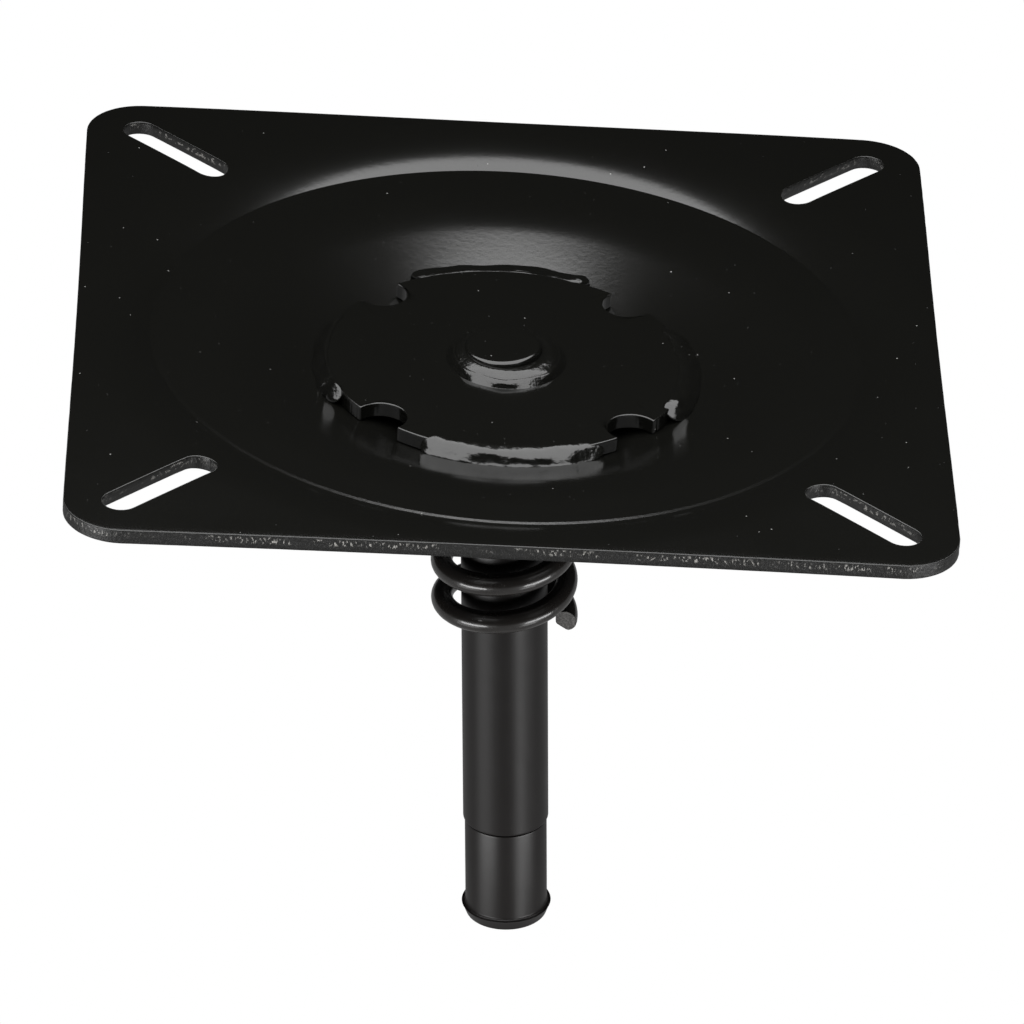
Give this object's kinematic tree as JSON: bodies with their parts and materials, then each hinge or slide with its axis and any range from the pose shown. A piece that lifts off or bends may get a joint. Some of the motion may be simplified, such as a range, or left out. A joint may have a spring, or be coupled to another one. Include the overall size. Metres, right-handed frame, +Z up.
{
  "type": "swivel seat base",
  "caption": "Pressed square steel top plate with a dished hub, fixed to a pin post with a bushing and a coil spring, that turns a caravan or boat chair in a pedestal tube.",
  "frame": {"origin": "on the pin's axis, at the top end of the long bushing, 4.4 mm under the dish's floor", "axes": "+Z up along the pin, which is the swivel axis; +X towards the low edge of the leaning plate, the right in the picture; +Y towards the back in the picture"},
  "size_m": [0.1777, 0.1778, 0.1488],
  "materials": {
    "plate_coat": "semi-gloss black powder coat",
    "weld_coat": "glossy black powder coat over weld metal",
    "polymer": "satin black moulded plastic",
    "spring_coat": "glossy black enamel"
  },
  "bodies": {
    "post": {"pin_bushing": "polymer"},
    "top": {"seat_plate": "plate_coat", "hub_disc": "plate_coat", "rear_weld": "weld_coat", "front_weld": "weld_coat", "left_weld": "weld_coat", "right_weld": "weld_coat", "ring_weld": "weld_coat", "swivel_pin": "plate_coat", "foot_cap": "polymer", "spring": "spring_coat"}
  },
  "joints": [
    {"name": "swivel", "type": "hinge", "parent": "post", "child": "top", "pos_m": [0, 0, -0.04], "axis": [0, 0, 1], "continuous": true}
  ]
}
